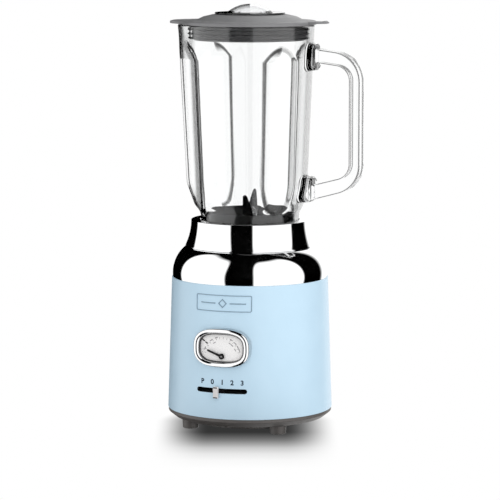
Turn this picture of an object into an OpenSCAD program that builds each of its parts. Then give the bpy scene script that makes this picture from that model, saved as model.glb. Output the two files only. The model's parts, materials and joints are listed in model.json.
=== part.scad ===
// Countertop blender: a motor base with an arc slider and a gauge, and a lift-off glass jar.
// The origin is on the motor axis at the floor. Controls face -Y, the jar handle is on +X.

/* [Base] */
// Outer radius of the painted body at its foot
body_r_low = 77.7; // [74:0.1:80]
// Outer radius of the painted body at its top
body_r_top = 73.7; // [72:0.1:75]
// Height of the painted body's top edge
body_top = 141; // [139:0.5:143]
// Height where the painted body meets the base pan
body_low = 16.5; // [15:0.5:18]
// Wall of the painted body
body_wall = 1.6; // [1:0.1:2]
// Radius of the circle that the feet stand on
feet_ring_r = 61.5; // [60:0.5:62]

/* [Shoulder and collar] */
// Radius of the shoulder's rounded outline
shoulder_arc = 32; // [30:0.5:34]
// Height of the shoulder's seat for the jar collar
seat_z = 170; // [169:0.5:171]
// Height of the jar collar's top
collar_top = 195; // [193:0.5:197]
// Outer radius of the jar collar's top
collar_r_top = 55.4; // [54:0.1:57]

/* [Jar] */
// Height of the jar's rim
jar_top = 378; // [374:1:384]
// Wall of the glass
glass_wall = 3.8; // [3:0.1:4]
// Depth of the four upright flutes
flute_depth = 5; // [3:0.5:6]
// Half width of the handle across Y
handle_half_w = 8.5; // [7:0.5:10]

/* [Lid] */
// Radius of the lid's rim
lid_r = 62.5; // [61:0.5:64]
// Radius of the clear cap's flange
cap_flange_r = 33; // [31:0.5:34]

/* [Controls] */
// Height of the slider slot's centre
slot_z = 43; // [41:0.5:45]
// Height of the gauge's centre
gauge_z = 83.3; // [80:0.1:86]
// Height of the badge plate's centre
badge_z = 124.5; // [122:0.5:126]

/* [Hidden] */
$fn = 96;
gap = 0.3;              // clearance between pieces that move past each other
slack = 0.1;            // clearance of a pin in its own hole
run = 0.05;             // radial running clearance of a shaft

// ---- base ----
body_slope = (body_r_low - body_r_top) / (body_top - body_low);
pan_low = 8.3;
pan_r_low = 70.5;
pan_floor = 2.5;
pan_opening_r = 46;
foot_r = 8;
foot_angles = [45, 135, 225, 315];
cover_r = 52;
cover_low = 3.5;
cover_screw_r = 49;
cover_screw_angles = [0, 120, 240];
shoulder_wall = 1.6;
shoulder_cx = 41;
shoulder_cz = 144.3;
well_r = 47.2;          // socket that the jar collar's spigot drops into
well_floor = 148;

// ---- motor ----
shaft_r = 4;
stator_z = [70, 108];
stator_r = 36;
stator_bore_r = 20.3;
armature_r = 19.5;
slots = 12;
coil_r = [24, 33];
coil_half_angle = 60;
coil_window_angle = 46;
upper_bracket_z = 117;
lower_bracket_z = 44;
deck_post_r = 52;
bolt_angles = [70, 250];
bolt_ring_r = 30;
brush_z = 54;
commutator_r = 11;
commutator_z = [48, 60];
fan_z = 130;

// ---- controls ----
slot_h = 4.1;
slot_x = [-23.6, 21.5];       // centres of the slot's round ends
knob_angle = -3.3;
knob_size = [6, 11.4];
gauge_size = [55, 37];
window_size = [44, 27];
gauge_front = -80;
gauge_back = -69;
skirt_size = gauge_size - [6, 6];
pivot = [0, -77, 75.4];
needle_angle = 21;             // rest pointer's rise above level, pointing to -X
badge_size = [54.4, 15.3];

// ---- jar ----
neck_r = 46;
neck_bore_r = 42.8;
jar_low = 181;
seal_z = [179, 181];
flange_z = [176, 179];
stack_z = 195;                 // underside of the lowest blade
blade_t = 1.4;
lobe_x = -28;
flute_angles = [-147, -40, 40, 147];
flute_rho = 50;
flute_low = 204;
flute_end = [345.5, 359.5];
bar_x = [99.8, 110.4];         // handle's upright bar
top_slope = 7.5;
low_slope = 15;
corner_out = 28;
corner_in = 14;
plug_r = 52.6;
cap_hole_r = 20.6;
cap_r = 20.2;

// ---------- shared shapes ----------

// Tube about Z
module ring(r_out, r_in, z0, z1) {
    translate([0, 0, z0]) difference() {
        cylinder(r = r_out, h = z1 - z0);
        translate([0, 0, -1]) cylinder(r = r_in, h = z1 - z0 + 2);
    }
}

// Solid disc about Z
module disc(r, z0, z1) {
    translate([0, 0, z0]) cylinder(r = r, h = z1 - z0);
}

// Copies about Z, with +X turned to each angle
module at_angles(angles) {
    for (a = angles) rotate([0, 0, a]) children();
}

// Rectangle with round corners, from true circles and squares
module rounded_rect(size, r) {
    square([size[0] - 2 * r, size[1]], center = true);
    square([size[0], size[1] - 2 * r], center = true);
    for (x = [-1, 1], y = [-1, 1])
        translate([x * (size[0] / 2 - r), y * (size[1] / 2 - r)]) circle(r = r);
}

// Outline drawn as seen from the front, and extruded from y0 back to y1
module from_front(y0, y1, z) {
    translate([0, y1, z]) rotate([90, 0, 0]) linear_extrude(height = y1 - y0) children();
}

// Solid of revolution over part of a turn, angles from -Y towards +X
module front_arc(a0, a1) {
    rotate([0, 0, a0 - 90]) rotate_extrude(angle = a1 - a0) children();
}

// Round wire wound about Z, as one swept body
module coil_spring(coil_radius, wire_r, height, turns) {
    sides = 8;
    steps = 14 * turns;
    rings = [for (i = [0 : steps]) let (a = 360 * turns * i / steps, z = height * i / steps)
        for (s = [0 : sides - 1]) let (b = 360 * s / sides)
            [(coil_radius + wire_r * cos(b)) * cos(a),
             (coil_radius + wire_r * cos(b)) * sin(a), z + wire_r * sin(b)]];
    walls = [for (i = [0 : steps - 1], s = [0 : sides - 1]) let (t = (s + 1) % sides)
        [i * sides + s, (i + 1) * sides + s, (i + 1) * sides + t, i * sides + t]];
    first_end = [for (s = [0 : sides - 1]) s];
    last_end = [for (s = [sides - 1 : -1 : 0]) steps * sides + s];
    polyhedron(points = rings, faces = concat(walls, [first_end, last_end]), convexity = 6);
}

// Countersunk screw standing on its head, head down at z0
module screw_up(z0, head_r, head_h, shank_r, length) {
    translate([0, 0, z0]) difference() {
        cylinder(r = head_r, h = head_h);
        translate([0, 0, -1]) for (a = [0, 90]) rotate([0, 0, a])
            translate([-head_r * 0.6, -0.5, 0]) cube([head_r * 1.2, 1, 1 + head_h * 0.4]);
    }
    translate([0, 0, z0 + head_h]) cylinder(r = shank_r, h = length);
}

// ---------- base casing ----------

function body_r(z) = body_r_low - body_slope * (z - body_low);

module body_solid(shrink, z0, z1) {
    translate([0, 0, z0])
        cylinder(r1 = body_r(z0) - shrink, r2 = body_r(z1) - shrink, h = z1 - z0);
}

module body_shell() {
    color("#bedcf0") difference() {
        body_solid(0, body_low, body_top);
        body_solid(body_wall, body_low - 1, body_top - body_wall);
        disc(70, body_top - 5, body_top + 1);
        from_front(-90, -60, gauge_z) rounded_rect(skirt_size + [slack, slack], 14);
        slot_cut(1);
        translate([0, 60, 28]) rotate([-90, 0, 0]) cylinder(r = 7, h = 30);
    }
}

// Slot through the front wall, with round ends; grow widens it
module slot_cut(grow) {
    half = slot_h / 2 + grow;
    from_front(-90, -66, slot_z) {
        translate([slot_x[0], -half]) square([slot_x[1] - slot_x[0], 2 * half]);
        for (x = slot_x) translate([x, 0]) circle(r = half);
    }
}

module shoulder_outline(offset_in) {
    intersection() {
        translate([shoulder_cx, shoulder_cz]) circle(r = shoulder_arc - offset_in);
        translate([0, body_top]) square([90, seat_z - offset_in - body_top]);
    }
}

module shoulder() {
    color("#d8dadc") rotate_extrude() difference() {
        union() {
            shoulder_outline(0);
            translate([48.8, body_top + 8]) square([8, seat_z - body_top - 8]);
        }
        union() {
            shoulder_outline(shoulder_wall);
            translate([50.4, 0]) square([8, seat_z - shoulder_wall]);
        }
        square([48.8, 200]);
        translate([48, body_top - 1]) square([20, 8]);
    }
}

module top_deck() {
    color("#2b2b2e") {
        difference() {
            union() {
                ring(48.7, well_r, well_floor, seat_z - 4);
                disc(48.7, well_floor - 3, well_floor);
                ring(69.8, 46, body_top - 5 + gap, body_top - 2);
                ring(50, 46, body_top - 2, well_floor - 3);
            }
            disc(12, 100, 160);
        }
        at_angles(foot_angles) translate([deck_post_r, 0, upper_bracket_z + 7]) difference() {
            cylinder(r = 4.5, h = body_top - 5 + gap - upper_bracket_z - 7);
            translate([0, 0, -1]) cylinder(r = 1.9, h = 10);
        }
    }
}

module base_pan() {
    color("#7d7570") difference() {
        union() {
            rotate_extrude() difference() {
                polygon([[0, pan_low], [pan_r_low, pan_low], [77.2, 13.6], [77.2, body_low],
                         [75.4, body_low], [75.4, 20], [0, 20]]);
                polygon([[0, pan_low + pan_floor], [70, pan_low + pan_floor], [73.4, 15],
                         [73.4, 21], [0, 21]]);
            }
            at_angles(foot_angles) translate([feet_ring_r, 0, pan_low])
                cylinder(r = 5, h = 16);
            at_angles(cover_screw_angles) translate([cover_screw_r, 0, pan_low])
                cylinder(r = 3.6, h = 10);
            for (x = [-1, 1]) translate([x * 27 - 3, 54, pan_low]) cube([6, 6, 46]);
        }
        disc(pan_opening_r - 1, 0, pan_low + pan_floor + 1);
        at_angles(foot_angles) translate([feet_ring_r, 0, 0]) cylinder(r = 2, h = 22);
        at_angles(cover_screw_angles) translate([cover_screw_r, 0, 0]) cylinder(r = 1.6, h = 16);
        translate([-26, 56, 16]) cube([52, 1.8, 50]);
    }
}

module bottom_cover() {
    color("#6f6863") difference() {
        union() {
            disc(cover_r, cover_low, pan_low);
            ring(44.6, 42.6, pan_low, pan_low + 2);
        }
        disc(cover_r - 8.6, cover_low + 2, pan_low + 3);
        at_angles([for (i = [0 : 11]) i * 30 + 15])
            translate([16, -1.6, 0]) cube([20, 3.2, 20]);
        at_angles(cover_screw_angles) translate([cover_screw_r - 1, 0, 0]) {
            translate([1, 0, 0]) cylinder(r = 1.7, h = 20);
            translate([1, 0, 0]) cylinder(r = 2.8, h = cover_low + 1.6);
        }
    }
}

module rubber_feet() {
    color("#26262a") at_angles(foot_angles) translate([feet_ring_r, 0, 0]) difference() {
        cylinder(r = foot_r, h = pan_low);
        translate([0, 0, -1]) cylinder(r = 4.6, h = 4);
        cylinder(r = 2.1, h = 20);
    }
}

module foot_screws() {
    color("#b9bbbe") at_angles(foot_angles) translate([feet_ring_r, 0, 0])
        screw_up(1, 4, 2, 1.9, 17);
}

module cover_screws() {
    color("#b9bbbe") at_angles(cover_screw_angles) translate([cover_screw_r, 0, 0])
        screw_up(cover_low + 0.2, 2.6, 1.4, 1.5, 9);
}

// ---------- gauge, badge and slider ----------

// Ring that stands on the curved wall, with a skirt through the wall behind it
module gauge_bezel() {
    color("#d8dadc") difference() {
        from_front(gauge_front, gauge_back, gauge_z) difference() {
            rounded_rect(gauge_size, 17);
            rounded_rect(window_size, 12.5);
        }
        difference() {
            body_solid(-slack / 2, body_low, body_top);
            from_front(-90, -60, gauge_z) rounded_rect(skirt_size, 14);
        }
    }
}

module gauge_dial() {
    color("#f3f1ea") from_front(-75.4, -74.4, gauge_z) difference() {
        rounded_rect(window_size - [0.4, 0.4], 12.3);
        translate([0, pivot[2] - gauge_z]) circle(r = 1.4);
    }
}

module gauge_lens() {
    color([0.9, 0.95, 1, 0.35]) from_front(-79.4, -78.4, gauge_z)
        rounded_rect(window_size - [0.4, 0.4], 12.3);
}

module gauge_movement() {
    color("#35363a") difference() {
        union() {
            from_front(-74.4, -60, gauge_z) rounded_rect([40, 22], 9);
            from_front(-74.4, -71, gauge_z) rounded_rect(window_size - [0.4, 0.4], 12.3);
        }
        translate([0, -73, pivot[2]]) rotate([90, 0, 0]) cylinder(r = 1.2, h = 5);
        translate([0, -64, pivot[2]]) rotate([90, 0, 0]) cylinder(r = 0.8 + run, h = 12);
    }
}

module gauge_needle() {
    color("#111113") translate(pivot) {
        rotate([90, 0, 0]) cylinder(r = 2.6, h = 0.8);
        translate([0, 11, 0]) rotate([90, 0, 0]) cylinder(r = 0.8, h = 11.4);
        rotate([0, needle_angle, 0]) rotate([90, 0, 0]) linear_extrude(height = 0.6)
            polygon([[0, -0.8], [0, 0.8], [-15, 0.35], [-15, -0.35]]);
    }
}

module slot_liner() {
    color("#141416") difference() {
        front_arc(-24, 23) translate([body_r(slot_z) - body_wall - 2.1, slot_z - 8])
            square([1.6, 16]);
        slot_cut(0);
    }
    color("#141416") difference() {
        slot_lip();
        slot_cut(0);
    }
}

// Black lip that lines the slot's edge in the painted wall
module slot_lip() {
    intersection() {
        slot_cut(1 - slack);
        difference() {
            body_solid(0.3, slot_z - 6, slot_z + 6);
            body_solid(body_wall + 1.2, slot_z - 7, slot_z + 7);
        }
    }
}

module slider_knob() {
    color("#c9c9c9") rotate([0, 0, knob_angle]) {
        from_front(-83, -78.4, slot_z - 1.2) rounded_rect(knob_size, 1.2);
        from_front(-79, -70, slot_z) square([4, slot_h - 2 * gap], center = true);
        from_front(-71.6, -69.6, slot_z) square([9, 10], center = true);
        translate([0, -62.5, slot_z]) rotate([90, 0, 0]) cylinder(r = 1.2, h = 8);
    }
}

module speed_switch() {
    color("#3a3b40") difference() {
        from_front(-64, -50, slot_z) square([58, 16], center = true);
        front_arc(-26, 25) translate([54, slot_z - 2]) square([20, 4]);
    }
    color("#3a3b40") for (x = [-1, 1]) translate([x * 26 - 2, -64, pan_low + pan_floor])
        cube([4, 8, slot_z - 8 - pan_low - pan_floor]);
}

module control_board() {
    color("#2f6b3c") translate([-25.8, 56.1, 16]) cube([51.6, 1.6, 56]);
    color("#26262a") for (x = [-16, 0, 14]) translate([x - 4, 46.1, 44]) cube([8, 10, 14]);
    color("#9a5a3a") translate([-8, 49.1, 62]) cube([16, 7, 6]);
}

module badge_plate() {
    color("#9fb6c8") difference() {
        intersection() {
            from_front(-78, -60, badge_z) rounded_rect(badge_size, 1.5);
            difference() {
                body_solid(-0.5, badge_z - 12, badge_z + 12);
                body_solid(0, badge_z - 13, badge_z + 13);
            }
        }
        from_front(-78, -60, badge_z) badge_field();
    }
}

// The badge is a thin frame round a lozenge with a bar on either side
module badge_field() {
    difference() {
        rounded_rect(badge_size - [1.2, 1.2], 1);
        rotate(45) square([6, 6], center = true);
        for (x = [-1, 1]) translate([x * 14.5, 0]) square([15, 0.9], center = true);
    }
}

module cord_gland() {
    color("#1f1f22") difference() {
        union() {
            translate([0, 66, 28]) rotate([-90, 0, 0]) cylinder(r = 6.9, h = 14);
            difference() {
                translate([0, 70, 28]) rotate([-90, 0, 0]) cylinder(r = 9, h = 10);
                body_solid(-slack / 2, body_low, body_top);
            }
        }
        translate([0, 60, 28]) rotate([-90, 0, 0]) cylinder(r = 3.6, h = 30);
    }
}

// ---------- motor ----------

module motor_stator() {
    color("#8d9196") difference() {
        ring(stator_r, stator_bore_r, stator_z[0], stator_z[1]);
        at_angles([0, 180]) coil_slots();
        at_angles([90, 270]) translate([stator_r - 1.5, -8, 0]) cube([10, 16, 200]);
        at_angles(bolt_angles) translate([bolt_ring_r, 0, 0]) cylinder(r = 2.1, h = 200);
    }
}

// Slots in the stator for the upright sides of one field coil
module coil_slots() {
    width = coil_half_angle - coil_window_angle;
    for (side = [-1, 1]) rotate([0, 0, side * (coil_half_angle - width / 2) - width / 2 - 0.5])
        rotate_extrude(angle = width + 1)
            translate([coil_r[0] - gap, 0]) square([coil_r[1] - coil_r[0] + 2 * gap, 200]);
}

// Block that spans an angle either side of +X
module sector(r, half_angle, z0, z1) {
    rotate([0, 0, -half_angle]) rotate_extrude(angle = 2 * half_angle)
        translate([r[0], z0]) square([r[1] - r[0], z1 - z0]);
}

module field_coils() {
    color("#b8683a") at_angles([0, 180]) difference() {
        sector(coil_r, coil_half_angle, stator_z[0] - 8, stator_z[1] + 8);
        sector([coil_r[0] - 1, coil_r[1] + 1], coil_window_angle, stator_z[0] - 1, stator_z[1] + 1);
    }
}

module upper_bracket() {
    color("#a9adb1") difference() {
        union() {
            disc(40, upper_bracket_z, upper_bracket_z + 3);
            disc(14, upper_bracket_z, upper_bracket_z + 9);
            at_angles(foot_angles) translate([10, -6, upper_bracket_z]) cube([42, 12, 3]);
            at_angles(foot_angles) translate([deck_post_r, 0, upper_bracket_z])
                cylinder(r = 6, h = 3);
        }
        disc(7, 100, 140);
        disc(11, upper_bracket_z + 2, 140);
        at_angles(foot_angles) translate([deck_post_r, 0, 100]) cylinder(r = 2.2, h = 40);
        at_angles(bolt_angles) translate([bolt_ring_r, 0, 100]) cylinder(r = 2.1, h = 40);
    }
}

module upper_bearing() {
    color("#c7cace") ring(11, shaft_r, upper_bracket_z + 2, upper_bracket_z + 9);
}

module lower_bracket() {
    color("#a9adb1") difference() {
        union() {
            disc(35, lower_bracket_z, lower_bracket_z + 3);
            disc(13, lower_bracket_z - 7, lower_bracket_z + 3);
            at_angles(bolt_angles) translate([bolt_ring_r, 0, lower_bracket_z])
                cylinder(r = 3.6, h = stator_z[0] - lower_bracket_z);
        }
        disc(6, 30, 50);
        disc(9.5, lower_bracket_z - 8, lower_bracket_z - 1);
        at_angles([15, 165, 195, 345]) translate([24, 0, 30]) cylinder(r = 6, h = 40);
        at_angles(bolt_angles) translate([bolt_ring_r, 0, 30]) cylinder(r = 2.1, h = 60);
    }
}

module lower_bearing() {
    color("#c7cace") ring(9.5, shaft_r, lower_bracket_z - 7, lower_bracket_z - 1);
}

module motor_bolts() {
    color("#b9bbbe") at_angles(bolt_angles) translate([bolt_ring_r, 0, 0])
        screw_up(lower_bracket_z - 3, 3.6, 3, 2, upper_bracket_z + 5 - lower_bracket_z);
}

module motor_screws() {
    color("#b9bbbe") at_angles(foot_angles) translate([deck_post_r, 0, 0])
        screw_up(upper_bracket_z - 6, 4.2, 2, 1.8, 16);
}

module motor_dampers() {
    color("#2a2a2d") at_angles(foot_angles) translate([deck_post_r, 0, 0]) {
        ring(6, 2.1, upper_bracket_z + 3, upper_bracket_z + 7);
        ring(6, 2.1, upper_bracket_z - 4, upper_bracket_z);
    }
}

module brush_holders() {
    color("#c59b4a") at_angles([90, 270]) difference() {
        translate([commutator_r + 2, -6, lower_bracket_z + 3]) cube([21, 12, 14]);
        translate([commutator_r + 1, -3.1, brush_z - 4.1]) cube([21.4, 6.2, 8.2]);
    }
}

module carbon_brushes() {
    color("#3b3b3d") at_angles([90, 270]) translate([0, 0, brush_z]) difference() {
        translate([commutator_r - 2, -3, -4]) cube([14, 6, 8]);
        translate([0, 0, -20]) cylinder(r = commutator_r + run, h = 40);
    }
}

module brush_springs() {
    color("#c9ccd0") at_angles([90, 270]) translate([commutator_r + 12.4, 0, brush_z])
        rotate([0, 90, 0]) coil_spring(2, 0.35, 8.2, 5);
}

module motor_shaft() {
    color("#c7cace") difference() {
        disc(shaft_r - run, lower_bracket_z - 6, 156);
        translate([2.6, -5, 151]) cube([5, 10, 6]);
    }
}

module armature_core() {
    color("#83878c") difference() {
        ring(armature_r, shaft_r - run, stator_z[0], stator_z[1]);
        winding_slots(0.1, stator_z[0] - 1, stator_z[1] + 1);
        for (i = [0 : slots - 1]) rotate([0, 0, i * 360 / slots])
            translate([15, -0.7, 0]) cube([10, 1.4, 200]);
    }
}

module winding_slots(grow, z0, z1) {
    at_angles([for (i = [0 : slots - 1]) i * 360 / slots])
        translate([14.6, 0, z0]) cylinder(r = 2.3 + grow, h = z1 - z0);
}

module armature_windings() {
    color("#a9562c") {
        winding_slots(0, stator_z[0] - 2, stator_z[1] + 2);
        for (z = [stator_z[0] - 8, stator_z[1] + 1]) rotate_extrude() difference() {
            translate([6, z]) square([12, 7]);
            square([5, 200]);
        }
    }
}

module commutator() {
    color("#b8743f") difference() {
        ring(commutator_r, shaft_r - run, commutator_z[0], commutator_z[1]);
        at_angles([for (i = [0 : 2 * slots - 1]) i * 15])
            translate([commutator_r - 1, -0.3, 0]) cube([3, 0.6, 100]);
    }
}

module cooling_fan() {
    color("#d9d4c4") difference() {
        union() {
            disc(8, fan_z, fan_z + 5);
            disc(30, fan_z, fan_z + 1.5);
            at_angles([for (i = [0 : 8]) i * 40]) translate([7, -0.8, fan_z])
                cube([23, 1.6, 5]);
        }
        disc(shaft_r - run, 100, 160);
    }
}

// Coupling half with six round-ended pockets that open upwards
module drive_dog() {
    color("#1c1c1e") difference() {
        union() {
            disc(11, 141, 150);
            disc(18, 150, 162);
        }
        difference() {
            disc(shaft_r - run, 130, 156);
            translate([2.6, -5, 151]) cube([5, 10, 6]);
        }
        disc(9, 158, 170);
        at_angles([for (i = [0 : 5]) i * 60]) translate([11, 0, 155]) cylinder(r = 3.4, h = 10);
    }
}

// ---------- jar foot ----------

module jar_collar() {
    arc = 56;
    color("#d8dadc") rotate_extrude() difference() {
        union() {
            difference() {
                translate([44, seat_z + gap]) square([18, collar_top - seat_z - gap]);
                translate([collar_r_top + arc, collar_top]) circle(r = arc);
            }
            translate([44, 158]) square([well_r - gap - 44, 16]);
            translate([38, flange_z[0] - 4]) square([10, 4]);
        }
        translate([0, flange_z[0]]) square([neck_r + gap, 40]);
        translate([well_r - gap, seat_z - 20]) square([3, 20 + gap]);
        translate([50.4, seat_z]) square([8, 3]);
    }
}

module blade_base() {
    color("#3c3d40") rotate_extrude() difference() {
        union() {
            translate([30, flange_z[0]]) square([neck_r - gap - 30, flange_z[1] - flange_z[0]]);
            translate([30, flange_z[0]]) square([neck_bore_r - 0.5 - 30, 26]);
            translate([0, stack_z - 18]) square([40, 4]);
            translate([0, 168]) square([9, stack_z - 8 - 168]);
        }
        square([7, 400]);
        polygon([[38.2, stack_z - 14], [40.2, 203], [20, 203], [20, stack_z - 14]]);
    }
}

module blade_bush() {
    color("#b58a4a") ring(7, shaft_r, 169, stack_z - 11);
}

module shaft_seal() {
    color("#1b1b1d") ring(7, shaft_r, stack_z - 11, stack_z - 8);
}

// ---------- blades ----------

module blade_shaft() {
    color("#c7cace") union() {
        disc(shaft_r - run, 159.5, stack_z - 1);
        disc(3, stack_z - 1, stack_z + 9);
    }
}

// One pair of arms: flat at the hub, then bent by `bend` degrees and shaped as `outline`
module blade_pair(z, root, bend, outline) {
    difference() {
        union() {
            disc(6, z, z + blade_t);
            at_angles([0, 180]) {
                translate([0, -5, z]) cube([root, 10, blade_t]);
                translate([root - 1, 0, z + 0.1]) rotate([0, -bend, 0])
                    linear_extrude(height = blade_t - 0.2) polygon(outline);
            }
        }
        disc(3, z - 1, z + blade_t + 1);
    }
}

upright_arm = [[0, -4.9], [5, -4.8], [29, -1.9], [29, 1.9], [5, 4.8], [0, 4.9]];

// Swept point of a cutting arm, `tip` long
function cutting_arm(tip) = [[0, -4.9], [tip * 0.45, -5.6], [tip, 2.5], [tip * 0.5, 4.9], [0, 4.9]];

module upper_blade() {
    color("#cfd3d6") rotate([0, 0, 100])
        blade_pair(stack_z + 3.6, 8.5, 47.3, upright_arm);
}

module middle_blade() {
    color("#cfd3d6") rotate([0, 0, 48]) blade_pair(stack_z + 1.8, 11, 5, cutting_arm(19));
}

module lower_blade() {
    color("#cfd3d6") rotate([0, 0, -22]) blade_pair(stack_z, 11, -14, cutting_arm(19));
}

module blade_spacers() {
    color("#b9bbbe") {
        ring(5.5, 3, stack_z - 1, stack_z);
        ring(5.5, 3, stack_z + 1.4, stack_z + 1.8);
        ring(5.5, 3, stack_z + 3.2, stack_z + 3.6);
    }
}

module blade_nut() {
    color("#d8dadc") difference() {
        union() {
            translate([0, 0, stack_z + 5]) cylinder(r = 6, h = 5, $fn = 6);
            translate([0, 0, stack_z + 10]) cylinder(r1 = 4.8, r2 = 3, h = 2);
        }
        disc(3, stack_z + 4, stack_z + 9);
    }
}

// Coupling half with six fingers that hang into the drive dog's pockets
module driven_dog() {
    color("#1c1c1e") difference() {
        union() {
            disc(14.6, 162.6, 167);
            at_angles([for (i = [0 : 5]) i * 60])
                translate([11, 0, 156]) cylinder(r = 2.9, h = 7);
        }
        disc(shaft_r - run, 150, 170);
    }
}

// ---------- jar ----------

module jar_seal() {
    color("#efefe8") ring(neck_r - 0.2, neck_bore_r, seal_z[0], seal_z[1]);
}

// Half outline of the round body; shrink moves the wall inwards, and the hollow runs past the rim
module body_outline(shrink) {
    top = jar_top + (shrink > 0 ? 1 : 0);
    polygon([[0, 207], [50.1 - shrink, 207], [54.3 - shrink, 229], [59.2 - shrink, 345],
             [60.8 - shrink, top], [0, top]]);
}

// Half outline of the pouring spout's round, about its own axis
module lobe_outline(shrink) {
    top = jar_top + (shrink > 0 ? 1 : 0);
    polygon([[0, 207], [26.3 - shrink, 207], [33.9 - shrink, 229], [39.8 - shrink, 345],
             [40.6 - shrink, 368], [41.6 - shrink, top], [0, top]]);
}

module neck_outline(shrink) {
    polygon([[0, jar_low], [neck_r - shrink, jar_low], [neck_r - shrink, 198],
             [47.2 - shrink, 203], [50.1 - shrink, 207], [0, 207]]);
}

// Four cutters that follow the body's taper and fade out at the top; grow thickens them
module flutes(grow) {
    tilt = atan2(59.2 - 54.3, 345 - 229);
    far = 54.3 - flute_depth + flute_rho;
    at_angles(flute_angles) translate([far, 0, 229]) rotate([0, tilt, 0]) {
        translate([0, 0, flute_low - 229]) cylinder(r = flute_rho + grow, h = flute_end[0] - flute_low);
        translate([0, 0, flute_end[0] - 229])
            cylinder(r1 = flute_rho + grow, r2 = flute_rho + grow - flute_depth - 1,
                     h = flute_end[1] - flute_end[0]);
    }
}

module jar_solid(shrink) {
    rotate_extrude() body_outline(shrink);
    translate([lobe_x, 0, 0]) rotate_extrude() lobe_outline(shrink);
}

// Side view of the handle's outer edge, filled
module handle_outer() {
    cx = bar_x[1] - corner_out;
    top_z = 326.6;
    low_z = 249.9;
    for (z = [top_z, low_z]) translate([cx, z]) circle(r = corner_out);
    polygon([[bar_x[1], low_z], [bar_x[1], top_z], [cx, top_z],
             [cx + corner_out * sin(top_slope), top_z + corner_out * cos(top_slope)],
             [52, 358.6], [50, 212.1],
             [cx + corner_out * sin(low_slope), low_z - corner_out * cos(low_slope)],
             [cx, low_z]]);
}

// Side view of the finger gap
module handle_inner() {
    cx = bar_x[0] - corner_in;
    top_z = 327.4;
    low_z = 250.3;
    for (z = [top_z, low_z]) translate([cx, z]) circle(r = corner_in);
    polygon([[bar_x[0], low_z], [bar_x[0], top_z], [cx, top_z],
             [cx + corner_in * sin(top_slope), top_z + corner_in * cos(top_slope)],
             [40, 347.6], [40, 223.8],
             [cx + corner_in * sin(low_slope), low_z - corner_in * cos(low_slope)],
             [cx, low_z]]);
}

module handle() {
    translate([0, handle_half_w, 0]) rotate([90, 0, 0]) linear_extrude(height = 2 * handle_half_w)
        difference() {
            handle_outer();
            handle_inner();
        }
    for (boss = [[348.8, 24.3, 67.5], [225.3, 23.3, 64]])
        translate([boss[2] - 16, 0, boss[0]]) rotate([90, 0, 90]) linear_extrude(height = 16)
            rounded_rect([24, boss[1]], 6);
}

module glass_jar() {
    color([0.85, 0.9, 0.92, 0.4]) difference() {
        union() {
            difference() {
                jar_solid(0);
                flutes(0);
            }
            rotate_extrude() neck_outline(0);
            handle();
        }
        difference() {
            jar_solid(glass_wall);
            flutes(glass_wall);
        }
        rotate_extrude() neck_outline(neck_r - neck_bore_r);
        disc(neck_bore_r, jar_low - 1, jar_low + 1);
    }
}

// ---------- lid and cap ----------

module lid() {
    rim_z = jar_top + gap;
    color("#77787a") difference() {
        union() {
            rotate_extrude() polygon([[0, rim_z], [lid_r, rim_z], [lid_r, rim_z + 2.6],
                [lid_r - 1, rim_z + 3.4], [50, rim_z + 4.3], [44, rim_z + 7.2],
                [35, rim_z + 9.3], [0, rim_z + 9.7]]);
            disc(plug_r, 364, rim_z + 2);
            spout_wing(rim_z);
            finger_tab(rim_z);
        }
        rotate_extrude() polygon([[0, 363], [plug_r - 2.2, 363], [plug_r - 2.2, rim_z + 1],
            [44, rim_z + 4.4], [35, rim_z + 6.6], [0, rim_z + 7]]);
        disc(cap_hole_r, 360, 400);
    }
}

module spout_wing(rim_z) {
    translate([0, 0, rim_z]) linear_extrude(height = 2.8) {
        polygon([[-30, -53], [-74, -10], [-74, 10], [-30, 53]]);
        translate([-79.5 + 14, 0]) circle(r = 14);
    }
}

module finger_tab(rim_z) {
    translate([50, -11, rim_z + 1.6]) cube([22, 22, 1.8]);
    translate([66.6, 0, rim_z + 1.6]) cylinder(r = 11, h = 1.8);
    translate([74, 0, rim_z + 3.2]) rotate([90, 0, 0]) translate([0, 0, -6])
        cylinder(r = 1, h = 12);
}

module lid_seal() {
    color("#8d8e90") rotate_extrude() {
        difference() {
            translate([plug_r, 365]) square([1.4, 10]);
            square([plug_r, 500]);
        }
        for (z = [365, 369, 373])
            polygon([[plug_r + 1, z], [55.9, z + 0.6], [55.9, z + 1.2], [plug_r + 1, z + 1.6]]);
    }
}

module measuring_cap() {
    flange_z0 = jar_top + gap + 9.7 + gap;
    dome_r = 21.7;
    dome_h = 8;
    rho = (dome_r * dome_r + dome_h * dome_h) / (2 * dome_h);
    color([0.9, 0.94, 0.96, 0.4]) rotate_extrude() difference() {
        union() {
            translate([0, flange_z0]) square([cap_flange_r, 1.2]);
            translate([0, 371]) square([cap_r, flange_z0 - 370]);
            intersection() {
                translate([0, flange_z0 + 1 + dome_h - rho]) circle(r = rho);
                translate([0, flange_z0 + 0.5]) square([dome_r, 20]);
            }
        }
        translate([0, 370]) square([cap_r - 1.8, flange_z0 - 370]);
        intersection() {
            translate([0, flange_z0 + 1 + dome_h - rho]) circle(r = rho - 1.6);
            translate([0, flange_z0 - 1]) square([cap_r - 1.8, 20]);
        }
        translate([-100, 0]) square([100, 500]);
    }
}

// ---------- one node at a time, or all ----------

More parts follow.
